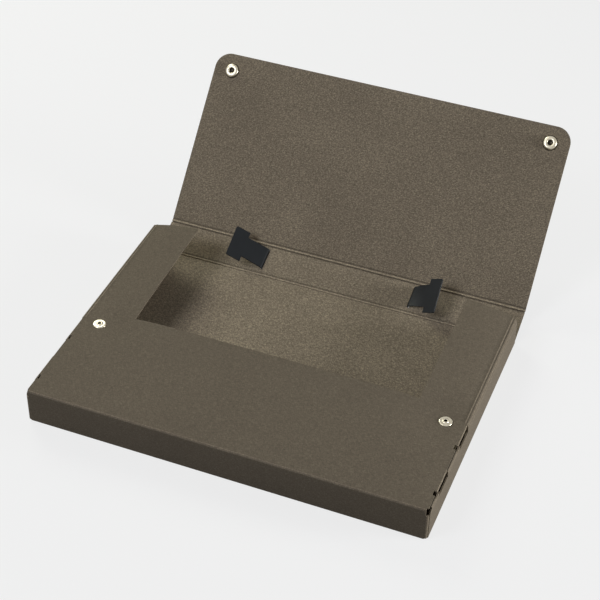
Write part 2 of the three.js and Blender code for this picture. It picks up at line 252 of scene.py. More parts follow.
def polypropyleneMaterial(look):
    # polypropylene sheet, extruded with a fine matt grain: near black, softly glossy, paler where scuffed
    material, tree = newMaterial("polypropyleneSheet")
    coords = addNode(tree, "ShaderNodeTexCoord").outputs["Object"]
    scuff = addNode(tree, "ShaderNodeTexNoise", {
        "Scale": 1 / (look["scuffSize"] * mm), "Detail": 4.0,
    }, {"Vector": coords}).outputs["Fac"]
    grain = addNode(tree, "ShaderNodeTexNoise", {
        "Scale": 1 / (look["grainSize"] * mm), "Detail": 2.0,
    }, {"Vector": coords}).outputs["Fac"]
    colour = addNode(tree, "ShaderNodeMix", {
        "data_type": "RGBA", 6: linearOf(look["colour"]), 7: linearOf(look["wearAndPaintedLight"]),
    }, {0: scuff})
    gloss = addNode(tree, "ShaderNodeMapRange", {
        "To Min": look["roughness"][0], "To Max": look["roughness"][1],
    }, {"Value": scuff})
    bump = addNode(tree, "ShaderNodeBump", {
        "Strength": look["grainStrength"], "Distance": look["grainHeight"] * mm,
    }, {"Height": grain})
    shader = addNode(tree, "ShaderNodeBsdfPrincipled", {
        "IOR": look["ior"], "Specular IOR Level": look["specular"],
    }, {"Base Color": colour.outputs[2], "Roughness": gloss.outputs[0], "Normal": bump.outputs["Normal"]})
    addNode(tree, "ShaderNodeOutputMaterial", links={"Surface": shader.outputs["BSDF"]})
    return material


nickelLook = {
    "colour": "#D9D2C0",
    "tarnish": "#A79E89",
    # painted shade inside the bore, and painted contact shadow on the thin ring at the board's face
    "shadeTint": "#2A2620",
    "patchSize": 2.5,
    "roughness": (0.22, 0.4),  # from bright to tarnished
}


def nickelMaterial(look):
    # nickel plate on stamped brass, barrel polished: bright warm grey metal with faint duller patches,
    # with painted shade inside the bore and a painted contact shadow on the thin ring where it meets the
    # board
    material, tree = newMaterial("nickelPlate")
    coords = addNode(tree, "ShaderNodeTexCoord").outputs["Object"]
    patch = addNode(tree, "ShaderNodeTexNoise", {
        "Scale": 1 / (look["patchSize"] * mm), "Detail": 3.0,
    }, {"Vector": coords}).outputs["Fac"]
    colour = addNode(tree, "ShaderNodeMix", {
        "data_type": "RGBA", 6: linearOf(look["colour"]), 7: linearOf(look["tarnish"]),
    }, {0: patch})
    gloss = addNode(tree, "ShaderNodeMapRange", {
        "To Min": look["roughness"][0], "To Max": look["roughness"][1],
    }, {"Value": patch})
    snapShade = addNode(tree, "ShaderNodeAttribute", {"attribute_name": "snapShade"}).outputs["Fac"]
    tinted = addNode(tree, "ShaderNodeMix", {"data_type": "RGBA", 7: linearOf(look["shadeTint"])}, {
        0: snapShade, 6: colour.outputs[2],
    })
    shader = addNode(tree, "ShaderNodeBsdfPrincipled", {"Metallic": 1.0}, {
        "Base Color": tinted.outputs[2], "Roughness": gloss.outputs[0],
    })
    addNode(tree, "ShaderNodeOutputMaterial", links={"Surface": shader.outputs["BSDF"]})
    return material


pulpBoard = pulpBoardMaterial(boardLook)
polypropylene = polypropyleneMaterial(strapLook)
nickel = nickelMaterial(nickelLook)
print("materials made")


# Mesh tools: a sheet is a grid of outer points and a grid of inner points, closed along its cut edges.
# A grid's outer side is the one that (first index's direction) x (second index's direction) points to

def finishPiece(name, points, faces, values, material, sharpAngle=35):
    mesh = bpy.data.meshes.new(name)
    mesh.from_pydata(points * mm, [], faces if isinstance(faces, list) else faces.tolist())
    mesh.polygons.foreach_set("use_smooth", np.ones(len(mesh.polygons), bool))
    mesh.set_sharp_from_angle(angle=math.radians(sharpAngle))
    for key, value in values.items():
        attribute = mesh.attributes.new(key, "FLOAT", "POINT")
        attribute.data.foreach_set("value", np.ascontiguousarray(value, np.float32))
    mesh.materials.append(material)
    mesh.update()
    obj = bpy.data.objects.new(name, mesh)
    bpy.context.scene.collection.objects.link(obj)
    return obj


def normalsOf(grid):
    normal = np.cross(np.gradient(grid, axis=0), np.gradient(grid, axis=1))
    return normal / np.linalg.norm(normal, axis=2, keepdims=True)


def inward(grid, thickness):
    return grid - thickness * normalsOf(grid)


def bendOf(grid):
    # how strongly the outer side bends outward, in 1/mm: folds and ridges above zero, valleys below it
    normal = normalsOf(grid)
    total = np.zeros(grid.shape[:2])
    for axis in (0, 1):
        step = np.diff(grid, axis=axis)
        length = np.linalg.norm(step, axis=2, keepdims=True)
        turn = np.diff(step / length, axis=axis)
        both = [np.take(length, np.arange(length.shape[axis] - 1) + more, axis=axis) for more in (0, 1)]
        inner = (slice(1, -1), slice(None)) if axis == 0 else (slice(None), slice(1, -1))
        total[inner] -= (2 * turn / sum(both) * normal[inner]).sum(axis=2)
    return total


def slab(outer, inner, keep=None, paleSide="inner", bend=None):
    # quads of both grids where keep is true, and a wall of quads where a kept cell has no kept neighbour.
    # paleSide says which grid is the board's paler side, its own tone with painted light added, and bend,
    # which the material turns into painted highlights and painted shade, is worked out where it isn't given
    nu, nv = outer.shape[:2]
    if keep is None:
        keep = np.ones((nu - 1, nv - 1), bool)
    index = np.arange(nu * nv).reshape(nu, nv)
    a, b, c, d = index[:-1, :-1], index[1:, :-1], index[1:, 1:], index[:-1, 1:]
    below = nu * nv
    faces = [np.stack([a, b, c, d], -1)[keep], np.stack([a, d, c, b], -1)[keep] + below]
    ring = np.pad(keep, 1)
    for there, p, q in (
        (ring[:-2, 1:-1], a, d), (ring[2:, 1:-1], c, b), (ring[1:-1, :-2], b, a), (ring[1:-1, 2:], d, c),
    ):
        edge = keep & ~there
        faces.append(np.stack([p[edge], q[edge], q[edge] + below, p[edge] + below], -1))
    faces = np.concatenate(faces)
    points = np.concatenate([outer.reshape(-1, 3), inner.reshape(-1, 3)])
    bend = bendOf(outer) if bend is None else np.broadcast_to(bend, (nu, nv))
    bend = np.concatenate([bend.ravel(), np.zeros(below)])
    pale = np.repeat([paleSide == "outer", paleSide == "inner"], below).astype(float)
    used, packed = np.unique(faces, return_inverse=True)
    return points[used], packed.reshape(faces.shape), {"bend": bend[used], "inner": pale[used]}


def carried(path, places, axis):
    # a section's points, in the two other axes, carried to each place along one axis
    grid = np.empty((len(path), len(places), 3))
    grid[..., [i for i in range(3) if i != axis]] = path[:, None]
    grid[..., axis] = places[None]
    return grid


def lines(*stops):
    # grid lines through the given places: (place, divisions up to the next place), ..., (last place,)
    parts = [np.linspace(stops[i][0], stops[i + 1][0], stops[i][1] + 1)[:-1] for i in range(len(stops) - 1)]
    return np.concatenate([*parts, [stops[-1][0]]])


def arcPoints(centre, radius, fromDegrees, toDegrees, steps):
    t = np.radians(np.linspace(fromDegrees, toDegrees, steps + 1))
    return np.stack([centre[0] + radius * np.cos(t), centre[1] + radius * np.sin(t)], -1)


def straight(start, end, steps):
    t = np.linspace(0, 1, steps + 1)[:, None]
    return np.asarray(start) * (1 - t) + np.asarray(end) * t


def chain(*runs):
    # one path from several runs that meet end to end
    return np.concatenate([runs[0], *[r[1:] for r in runs[1:]]])


def mirrored(points, faces, values):
    return points * (-1, 1, 1), faces[:, ::-1], values


def smooth(value, start, end):
    # from 0 at the start to 1 at the end, level at both
    t = np.clip((value - start) / (end - start), 0, 1)
    return t * t * (3 - 2 * t)


# The folded case

case = {
    "board": 1.0,
    "halfWidth": 165.0,
    "front": -118.2,
    "crease": 118.2,
    "height": 31.5,
    "fold": 1.6,  # outside radius of a fold
    "bottomFold": 1.15,
    "cornerFold": 1.8,
    "cornerHole": {"top": 6.0, "bottom": 1.5},
    "cornerOpen": 0.9,  # the panel leaves the corner open over this length
    "cornerBulge": 0.55,  # the bent corner springs out this far beyond the wall's inner face
    "cornerCut": {"top": 4.0, "bottom": 1.3},
    "wallClear": 0.2,  # the side wall starts this far behind the bent corner
    "endFlap": 24.0,
    "flapInset": 0.1,  # from the wall's inner face, once the bulge of the corner has settled
    "flapSettle": 2.5,
    "windowFront": -12.0,
    "windowHalf": 121.9,
    "armEnd": 112.0,
    "bodyEnd": 116.8,
    "chamferHeight": 9.0,
    "tabStarts": (-97.6, -47.0),
    "tabLength": 23.2,
    "tabDepth": 14.0,
    "tabFold": 0.7,
    "tabOut": 0.9,  # the tab's fold stands this far in from the wall's outer face
    "tabGap": 1.2,  # and it passes this far inside the wall's inner face at the notch
    "notchAhead": 4.6,
    "aheadDepth": 1.9,  # the wall is cut down only this far ahead of a tab
    "aheadOverlap": 2.2,  # and over this much of the tab's length
    "notchBehind": 0.6,
    "notchDepth": 7.0,
    "panelInset": 1.5,
    "holeInset": 3.5,  # the panel stops short beside the hole in front of a tab
    "flangeDrop": 1.4,  # the wall beside the flanges is this much lower than beside the arms
    "flangeEnd": 153.5,
    "rise": 9.2,  # how far the top would spring up at its back end, in the middle
    "risePower": 0.8,
    "riseWidth": 6.0,
    "studX": 147.5,
    "studY": -25.8,
    "studFlat": 25.0,  # the panel stays down around a snap
    "ridgeX": 161.9,
    "ridgeHeight": 0.45,
    "ridgeWidth": 0.7,
    "grooveDepth": 0.6,
    "grooveDrop": 2.8,  # below the arm's face
    "grooveWidth": 0.6,
    "fadeLength": 3.0,  # ridge and groove fade in over this length
    "foldHighlight": 0.45,  # painted highlight near a fold: a bend in 1/mm that is given, as the board's colour follows it
    "foldHighlightReach": 4.0,
    "grooveShade": 1.3,  # painted shade in the groove, taken off that bend, as is the painted shadow beside the flange
    # painted shadow on the flange in the gap beside the panel, and how far it reaches
    "flangeShadow": 1.8,
    "flangeShadowReach": 0.6,
}
k = case
innerWall = k["halfWidth"] - k["board"]
cornerX = innerWall - k["cornerFold"]
cornerY = k["front"] + k["cornerFold"]
foldX = k["halfWidth"] - k["fold"]
foldY = k["front"] + k["fold"]
foldZ = k["height"] - k["fold"]
flangeZ = foldZ - k["flangeDrop"]
notchZ = k["height"] - k["notchDepth"]
aheadZ = k["height"] - k["aheadDepth"]
tabFoldX = k["halfWidth"] - k["tabOut"] - k["tabFold"]
panelSide = k["halfWidth"] - k["panelInset"]
notches = [(s - k["notchAhead"], s + k["tabLength"] + k["notchBehind"]) for s in k["tabStarts"]]
armStart = notches[-1][1]
wallFront = cornerY + k["wallClear"]


def riseAt(x, y):
    # the top springs up from its creases: a dome over the width times a growth towards the open back,
    # held flat round the two snaps
    across = 1 - np.clip(np.abs(x) / foldX, 0, 1) ** k["riseWidth"]
    along = np.clip((y - foldY) / (k["armEnd"] - foldY), 0, 1) ** k["risePower"]
    near = (np.abs(x) - k["studX"]) ** 2 + (y - k["studY"]) ** 2
    return k["rise"] * across * along * (1 - np.exp(-near / k["studFlat"] ** 2))


def armFade(y):
    # 0 up to the last tab's notch, then up to 1 in a straight line
    return np.clip((y - armStart) / k["fadeLength"], 0, 1)


def ridgeAt(x, y):
    # pressed ridge beside an arm's crease: a bell across x
    bell = np.exp(-((np.abs(x) - k["ridgeX"]) / k["ridgeWidth"]) ** 2)
    return k["ridgeHeight"] * bell * armFade(y)


def frontStripMesh():
    # section in (y, z): fold from the top, front wall, fold, bottom; carried along x
    low = k["bottomFold"]
    path = chain(
        arcPoints((foldY, foldZ), k["fold"], 90, 180, 8),
        straight((k["front"], foldZ), (k["front"], low), 6),
        arcPoints((k["front"] + low, low), low, 180, 270, 8),
        straight((k["front"] + low, 0), (k["bodyEnd"], 0), 30),
    )
    outer = carried(path, np.linspace(-cornerX, cornerX, 41), 0)
    return slab(outer, inward(outer, k["board"]))


def topSheetMesh():
    # heights above an (x, y) grid, with the window and the strips beside the flanges left out
    holeX = k["halfWidth"] - k["holeInset"]
    stops = sorted({round(stop, 3) for stop in (cornerX, holeX, tabFoldX, foldX, panelSide)})
    half = lines((0, 24), (k["windowHalf"], 22), *[(stop, 2) for stop in stops[:-1]], (stops[-1],))
    x = np.concatenate([-half[:0:-1], half])
    ends = [s + k["tabLength"] for s in k["tabStarts"]]
    y = lines(
        (foldY, 2), (foldY + k["cornerOpen"], 8),
        (notches[0][0], 2), (k["tabStarts"][0], 10), (ends[0], 1), (notches[0][1], 10),
        (notches[1][0], 2), (k["tabStarts"][1], 10), (ends[1], 1), (armStart, 10),
        (k["windowFront"], 50), (k["armEnd"],),
    )
    gx, gy = np.meshgrid(x, y, indexing="ij")
    outer = np.stack([gx, gy, k["height"] + riseAt(gx, gy) + ridgeAt(gx, gy)], -1)
    midX = np.abs(x[1:] + x[:-1])[:, None] / 2
    midY = (y[1:] + y[:-1])[None] / 2
    edge = np.where(midY > armStart, foldX, panelSide)
    for (front, back), start, end in zip(notches, k["tabStarts"], ends):
        edge[(midY > front) & (midY < back)] = tabFoldX
        edge[(midY > front) & (midY < start)] = holeX
    edge[midY < foldY + k["cornerOpen"]] = cornerX
    keep = (midX < edge) & ((midY < k["windowFront"]) | (midX > k["windowHalf"]))
    return slab(outer, inward(outer, k["board"]), keep)


def chamferedWall(grid):
    # the back end stays at the arm's end above and reaches the crease at the bottom,
    # and both front corners are cut off so that the corner's bend can pass
    z = grid[..., 2]
    down = np.clip((k["height"] - z) / k["chamferHeight"], 0, 1)
    over = np.maximum(grid[..., 1] - k["armEnd"], 0)
    cut = k["cornerCut"]
    top = np.clip(z - k["height"] + k["flangeDrop"] + cut["top"], 0, cut["top"])
    bottom = np.clip(cut["bottom"] - z, 0, cut["bottom"])
    frontEnd = wallFront + np.maximum(top, bottom)
    grid[..., 1] = np.maximum(grid[..., 1] - over * (1 - down), frontEnd)
    return grid


def wallStands(midY, midZ):
    # true where the wall isn't cut away: it is low at a tab, a little lower than the panel ahead of a tab
    # and beside a flange, and full height along the arm, and its fold ends with the arm
    stands = (midZ < notchZ) | (midY > armStart)
    for start, end in zip((wallFront, notches[0][1]), (notches[0][0], notches[1][0])):
        stands |= (midZ < flangeZ) & (midY > start) & (midY < end)
    for (front, _), start in zip(notches, k["tabStarts"]):
        stands |= (midZ < aheadZ) & (midY > front) & (midY < start + k["aheadOverlap"])
    return stands & ((midZ < foldZ) | (midY < k["armEnd"]))


def sideWallMesh():
    # section in (x, z): fold from the arm, wall, fold, bottom edge; carried along y
    low = k["bottomFold"]
    levels = sorted({round(level, 3) for level in (foldZ, flangeZ, aheadZ, notchZ)}, reverse=True)
    path = chain(
        arcPoints((foldX, foldZ), k["fold"], 90, 0, 12),
        *[straight((k["halfWidth"], a), (k["halfWidth"], b), 6) for a, b in zip(levels, levels[1:])],
        straight((k["halfWidth"], notchZ), (k["halfWidth"], low), 10),
        arcPoints((k["halfWidth"] - low, low), low, 0, -90, 8),
        straight((k["halfWidth"] - low, 0), (cornerX, 0), 2),
    )
    y = lines(
        (wallFront, 6), (notches[0][0], 2), (k["tabStarts"][0] + k["aheadOverlap"], 8), (notches[0][1], 8),
        (notches[1][0], 2), (k["tabStarts"][1] + k["aheadOverlap"], 8), (armStart, 40),
        (k["armEnd"], 4), (k["bodyEnd"],),
    )
    outer = carried(path, y, 1)
    inner = inward(outer, k["board"])
    # a scored groove runs along the wall below the arm: a bell over z
    z = path[:, 1]
    bell = np.exp(-((z - k["height"] + k["grooveDrop"]) / k["grooveWidth"]) ** 2) * (path[:, 0] > foldX)
    groove = bell[:, None] * armFade(y)
    outer[..., 0] -= k["grooveDepth"] * groove
    # painted highlight down from the wall's fold and painted shade in the groove, as bend
    foldHighlightBand = k["foldHighlight"] * np.exp(-(np.maximum(foldZ - z, 0) / k["foldHighlightReach"]) ** 2)
    bend = foldHighlightBand[:, None] - k["grooveShade"] * groove
    midZ = (outer[1:, 0, 2] + outer[:-1, 0, 2])[:, None] / 2
    midY = ((y[1:] + y[:-1]) / 2)[None]
    return slab(chamferedWall(outer), chamferedWall(inner), wallStands(midY, midZ), bend=bend)


def flangeMesh(start, end):
    # section in (x, z): from under the top panel out and over to the wall; carried along y.
    # The flange has a painted shadow in the gap beside the panel and a painted highlight on its fold
    over = arcPoints((foldX, flangeZ), k["fold"], 90, 0, 12)
    path = chain(straight((k["flangeEnd"], over[0][1]), over[0], 8), over)
    outer = carried(path, np.linspace(start, end, 10), 1)
    besidePanel = np.maximum(path[:, 0] - panelSide, 0)
    bend = k["foldHighlight"] - k["flangeShadow"] * np.exp(-(besidePanel / k["flangeShadowReach"]) ** 2)
    return slab(outer, inward(outer, k["board"]), bend=bend[:, None])


def tabMesh(start):
    # section in (x, z): over the wall's notch, down outside and in behind the notch's edge; carried along y
    fold = arcPoints((tabFoldX, k["height"] - k["tabFold"]), k["tabFold"], 90, 0, 8)
    knee = (innerWall - k["tabGap"], k["height"] - k["notchDepth"])
    path = chain(
        fold, straight(fold[-1], knee, 5), straight(knee, (knee[0], k["height"] - k["tabDepth"]), 5),
    )
    outer = carried(path, np.linspace(start, start + k["tabLength"], 10), 1)
    return slab(outer, inward(outer, k["board"]))


def endFlapMesh():
    # section in (x, y): round the front corner and back inside the side wall; carried along z
    bulgeX = cornerX + k["cornerBulge"]
    flapX = innerWall - k["flapInset"]
    settled = (flapX, cornerY + k["flapSettle"])
    path = chain(
        straight((cornerX, k["front"]), (bulgeX, k["front"]), 1),
        arcPoints((bulgeX, cornerY), k["cornerFold"], 270, 360, 12),
        straight((innerWall + k["cornerBulge"], cornerY), settled, 3),
        straight(settled, (flapX, cornerY + k["endFlap"]), 6),
    )
    hole = k["cornerHole"]
    outer = carried(path, np.linspace(hole["bottom"], k["height"] - hole["top"], 8), 2)
    return slab(outer, inward(outer, k["board"]))


def boardPiece(name, mesh, body):
    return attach(finishPiece(name, *mesh, pulpBoard), body)


def bothSides(name, mesh):
    boardPiece(f"{name}_right", mesh, "case")
    boardPiece(f"{name}_left", mirrored(*mesh), "case")


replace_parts(boardPiece("front_strip", frontStripMesh(), "case"), "case_body")
# the top sheet gets its own copy of its mesh
topSheet = boardPiece("top_sheet", topSheetMesh(), "case")
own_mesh(topSheet)
bothSides("side_wall", sideWallMesh())
bothSides("end_flap", endFlapMesh())
for number, start in enumerate(k["tabStarts"], 1):
    bothSides(f"tab_{number}", tabMesh(start))
for number, (start, end) in enumerate(
    ((wallFront + k["cornerCut"]["top"], notches[0][0]), (notches[0][1], notches[1][0])), 1,
):
    bothSides(f"flange_{number}", flangeMesh(start, end))
print("case folded")


# Spine and lid, each in the frame of its crease: x along the crease, y up the panel, z to the inside

hinged = {
    "half": 164.4,
    "face": 0.2,  # inner face, from the crease's axis
    "bead": 0.8,  # radius of the raised bead along a crease
    "beadHighlight": 0.8,  # painted highlight on the bead's lit top: how far up the panel it reaches
    "gap": 0.9,  # between the spine's board and the lid's bead
    "spineHeight": 31.5,
    "spineLean": 19.9,  # degrees above the table
    "lidBend": 26.55,  # degrees more than the spine
    "lidLength": 159.2,
    "lidCorner": 14.0,
    "valley": 0.3,
    "valleyAt": 1.8,  # from the crease's axis, up the panel
    "valleyWidth": 0.6,
    "valleyShadeWidth": 0.7,  # width of the painted shade along it
    "fineEnd": 3.4,  # the grid is fine up to here
    "spineEdge": 0.7,  # painted shadow of the lid's bead on the spine's upper edge, over this width
    "edgeShadow": 0.6,  # how dark that painted shadow is, as a bend below zero
}
h = hinged
spineAngle = math.radians(h["spineLean"])
lidAngle = math.radians(h["spineLean"] + h["lidBend"])
lowCrease = np.array((k["crease"], h["bead"]))
highCrease = lowCrease + h["spineHeight"] * np.array((math.cos(spineAngle), math.sin(spineAngle)))


def placed(points, crease, angle):
    # local (x, y, z) turned about the crease's axis and moved to it
    c, s = math.cos(angle), math.sin(angle)
    x, y, z = points[..., 0], points[..., 1], points[..., 2]
    return np.stack([x, crease[0] + y * c - z * s, crease[1] + y * s + z * c], -1)


def panelMesh(length, corner, crease, angle, slots=()):
    # a flat board whose lower edge is a raised bead with a shallow valley above it. Its far corners are
    # round: the half width shrinks there as a quarter circle. A slot is (x from, x to, y from, y to), and
    # it is cut in both halves
    t = np.linspace(0, 1, 13)[1:]
    stops = sorted({h["fineEnd"], length - corner, *[y for slot in slots for y in slot[2:]]})
    y = np.concatenate([
        np.linspace(-h["bead"], h["fineEnd"], 29)[:-1],
        lines(*[(stop, 12) for stop in stops[:-1]], (stops[-1],)),
        length - corner + corner * np.sin(t * math.pi / 2) if corner else [],
    ])
    half = lines((0, 16), *[stop for slot in slots for stop in zip(slot[:2], (1, 16))], (h["half"],))
    x = np.concatenate([-half[:0:-1], half])
    inCorner = np.clip((y - (length - corner)) / corner, 0, 1) if corner else np.zeros(len(y))
    shrink = 1 - corner / h["half"] * (1 - np.sqrt(1 - inCorner ** 2))
    bead = np.sqrt(np.clip(h["bead"] ** 2 - y ** 2, 0, None))
    valley = h["valley"] * np.exp(-((y - h["valleyAt"]) / h["valleyWidth"]) ** 2)
    face = np.where(y < 0, bead, np.maximum(bead, h["face"] - valley))
    back = np.where(y < 0, -bead, -h["bead"])
    # painted highlight on the bead and painted shade in the valley above it
    paintedLight = np.exp(-(y / h["beadHighlight"]) ** 2) - np.exp(-((y - h["valleyAt"]) / h["valleyShadeWidth"]) ** 2)
    # the spine's upper edge gets a painted shadow of the lid's bead
    if not corner:
        paintedLight[y > length - h["spineEdge"]] = -h["edgeShadow"]
    outer, inner = [
        np.stack(np.broadcast_arrays(x[:, None] * shrink[None], y[None], z[None]), -1) for z in (face, back)
    ]
    midX = np.abs(x[1:] + x[:-1])[:, None] / 2
    midY = (y[1:] + y[:-1])[None] / 2
    keep = np.ones((len(x) - 1, len(y) - 1), bool)
    for fromX, toX, fromY, toY in slots:
        keep &= (midX < fromX) | (midX > toX) | (midY < fromY) | (midY > toY)
    return slab(placed(outer, crease, angle), placed(inner, crease, angle), keep, "outer", paintedLight[None])


creaseStrip = {
    "reach": 2.2,  # to each side of the crease's axis
    "turn": 1.5,  # it turns within this distance of the axis
    "endInset": 0.3,
    "levels": (-0.35, -0.62),  # its two faces, from the axis
    "bend": -1.0,  # painted shade inside the crease, as dark as a valley gets
}


def creaseStripMesh(crease, fromAngle, toAngle):
    # the board's squeezed layer inside a crease: a thin strip that turns smoothly between two panels
    c = creaseStrip
    w = np.linspace(-c["reach"], c["reach"], 23)
    angle = fromAngle + (toAngle - fromAngle) * smooth(w, -c["turn"], c["turn"])
    x = np.linspace(-h["half"] + c["endInset"], h["half"] - c["endInset"], 3)
    layers = []
    for level in c["levels"]:
        y = crease[0] + w * np.cos(angle) - level * np.sin(angle)
        z = crease[1] + w * np.sin(angle) + level * np.cos(angle)
        layers.append(np.stack(np.broadcast_arrays(x[:, None], y[None], z[None]), -1))
    return slab(*layers, paleSide="outer", bend=c["bend"])


strap = {
    "thickness": 1.0,
    "half": 10.0,  # half the strap's breadth
    "headHalf": 15.3,
    "centre": 16.2,  # up the spine, from its crease
    "slotX": 67.8,
    "ease": 0.4,  # the slot is this much wider on each side
    "outside": -1.6,  # middle of the strap, from the crease's axis
    "bendRadius": 1.2,
    "rise": 1.3,  # the strap's bend lies this far above the spine's inner face
    "turn": 1.5,  # and takes this length to each side
    "steps": 1500,  # in the sum that gives the strap's course
    "head": 13.6,
    "headRound": 1.4,
    "pressedFrom": 31.0,  # measured up the spine
    "pressedTo": 0.94,  # share of its breadth along the spine that is left when the spine stands up
    # degrees, and the reach from the bend to the head
    "left": {"tilt": 32.5, "yaw": 1.8, "twist": 2.3, "reach": 20.7},
    "right": {"tilt": 34.5, "yaw": -8.8, "twist": 18.8, "reach": 18.4},
}


def eased(middle, half):
    return middle - half - strap["ease"], middle + half + strap["ease"]


slot = (*eased(strap["slotX"], strap["thickness"] / 2), *eased(strap["centre"], strap["half"]))
spineBoard = panelMesh(h["spineHeight"] - h["bead"] - h["gap"], 0, lowCrease, spineAngle, [slot])
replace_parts(boardPiece("spine_board", spineBoard, "spine"), "spine_panel")
lidBoard = panelMesh(h["lidLength"], h["lidCorner"], highCrease, lidAngle)
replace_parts(boardPiece("lid_board", lidBoard, "lid"), "lid_flap")
for name, crease, angles, bodies in (
    ("crease_low", lowCrease, (0, spineAngle), ("case", "spine")),
    ("crease_high", highCrease, (spineAngle, lidAngle), ("spine", "lid")),
):
    strip = finishPiece(name, *creaseStripMesh(crease, *angles), pulpBoard)
    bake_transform(strip)
print("spine and lid made")


# Carry handle: a flat strap outside the spine that comes in through two slots and ends in T heads

def strapEnd(sign, end):
    # from the slot to the tip: middle points, edge directions and half widths. The strap leaves the slot
    # upright, bends over to its tilt, and then yaws and twists on its way to the head. Its place is the sum
    # of its steps
    s = strap
    through = h["face"] + s["rise"] - s["outside"] - s["bendRadius"]
    neck = through + end["reach"]
    tip = neck + s["head"]
    length = np.concatenate([
        lines((0, 14), (through + 2 * s["turn"], 22), (neck, 8), (tip - s["headRound"],)),
        tip - s["headRound"] * (1 - np.sin(np.linspace(0, 1, 9)[1:] * math.pi / 2)),
    ])
    fine = np.linspace(0, tip, s["steps"])
    tilt = np.radians(90 + (end["tilt"] - 90) * smooth(fine, through - s["turn"], through + s["turn"]))
    yaw = np.radians(end["yaw"] * smooth(fine, through, neck))
    along = np.stack([
        np.cos(tilt) * np.cos(yaw) * sign, np.cos(tilt) * np.sin(yaw) * sign, np.sin(tilt),
    ], -1)
    steps = np.cumsum(along, axis=0) * (fine[1] - fine[0])
    root = np.array([sign * s["slotX"], s["centre"], s["outside"] + s["bendRadius"]])
    place = root + np.stack([np.interp(length, fine, steps[:, i]) for i in range(3)], -1)
    direction = np.stack([np.interp(length, fine, along[:, i]) for i in range(3)], -1)
    turn = np.interp(length, fine, yaw)
    flat = np.stack([-np.sin(turn), np.cos(turn), np.zeros(len(turn))], -1)
    twist = np.radians(end["twist"] * smooth(length, through, neck))[:, None]
    edge = flat * np.cos(twist) + np.cross(direction, flat) * np.sin(twist)
    fromTip = tip - length
    inRound = np.maximum(s["headRound"] - fromTip, 0)
    shrink = s["headRound"] - np.sqrt(np.clip(s["headRound"] ** 2 - inRound ** 2, 0, None))
    inHead = length > neck - 1e-6  # with an allowance for rounding
    return place, edge, direction * sign, s["headHalf"] - shrink, inHead


def strapMesh():
    s = strap
    left, right = strapEnd(-1, s["left"]), strapEnd(1, s["right"])
    bendCentre = (s["slotX"] - s["bendRadius"], s["outside"] + s["bendRadius"])
    corner = arcPoints(bendCentre, s["bendRadius"], 270, 360, 8)[:-1]
    run = np.concatenate([np.linspace((0, s["outside"]), corner[0], 25)[1:-1], corner])
    run = np.concatenate([(run * (-1, 1))[::-1], [(0, s["outside"])], run])
    middle = np.stack([run[:, 0], np.full(len(run), s["centre"]), run[:, 1]], -1)
    slope = np.gradient(middle, axis=0)
    slope /= np.linalg.norm(slope, axis=1, keepdims=True)
    up = np.broadcast_to((0.0, 1.0, 0.0), middle.shape)
    place, edge, along, half, wide = [
        np.concatenate([a[::-1], b, c]) for a, b, c in zip(
            left, (middle, up, slope, np.full(len(run), s["headHalf"]), np.zeros(len(run), bool)), right,
        )
    ]
    normal = np.cross(along, edge)
    rows = lines((-s["headHalf"], 5), (-s["half"], 16), (s["half"], 5), (s["headHalf"],))
    width = np.sign(rows) * np.minimum(np.abs(rows)[None], half[:, None])
    centre = place[:, None] + width[..., None] * edge[:, None]
    layers = [centre + sign * s["thickness"] / 2 * normal[:, None] for sign in (1, -1)]
    inHead = (wide[1:] & wide[:-1])[:, None]
    inStrap = (np.abs(rows[1:] + rows[:-1]) / 2 < s["half"])[None]
    return slab(*[placed(layer, lowCrease, spineAngle) for layer in layers], inHead | inStrap)


handle = finishPiece("strap_handle", *strapMesh(), polypropylene)
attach(handle, "spine")
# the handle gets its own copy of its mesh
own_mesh(handle)
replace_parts(handle, "carry_handle")
print("handle made")


# Snaps: profiles of (radius, height) turned round the axis of the snap. boreEnd is how many of the first
# points lie in the bore, painted dark as shade, and the shadow ring's count is how many of the last lie on a
# thin ring at the board's face, painted dark as a contact shadow

snap = {
    "segments": 64,
    "sharpAngle": 50,
    "lidY": 144.0,  # up the lid, from its crease
    "seat": 0.3,  # sockets and caps stand this far off the lid's faces
    "stud": {"boreEnd": 4, "shadowRing": 4, "profile": [
        (0, 0.2), (1.15, 0.2), (1.3, 0.4), (1.34, 1.1), (1.42, 1.3), (1.55, 1.43), (1.9, 1.45), (2.2, 1.38),
        (2.4, 1.22), (2.5, 1.02), (2.7, 0.88), (3.0, 0.82), (3.6, 0.84), (4.3, 0.9), (4.8, 0.84),
        (5.15, 0.64), (5.35, 0.38), (5.4, 0.2), (5.42, 0.12), (5.85, 0.08), (5.95, 0.02), (5.25, 0.0),
    ]},
    "post": {"boreEnd": 0, "shadowRing": 0, "profile": [
        (0, -1.8), (3.6, -1.8), (4.3, -1.72), (4.7, -1.5), (4.8, -1.25), (4.72, -1.05), (4.6, -1.0),
    ]},
    "socket": {"boreEnd": 4, "shadowRing": 4, "profile": [
        (0, 0.35), (1.9, 0.35), (2.1, 0.5), (2.15, 1.35), (2.25, 1.7), (2.5, 2.05), (2.9, 2.3), (3.4, 2.4),
        (4.1, 2.38), (4.8, 2.22), (5.35, 1.95), (5.75, 1.55), (6.0, 1.05), (6.1, 0.55), (6.1, 0.1),
        (6.12, -0.05), (6.55, -0.15), (6.65, -0.25), (5.85, -0.3),
    ]},
    "cap": {"boreEnd": 0, "shadowRing": 0, "profile": [
        (0, -1.5), (1.6, -1.48), (3.2, -1.38), (4.6, -1.15), (5.6, -0.82), (6.2, -0.45), (6.4, -0.12),
        (6.38, 0.1), (6.2, 0.3),
    ]},
}


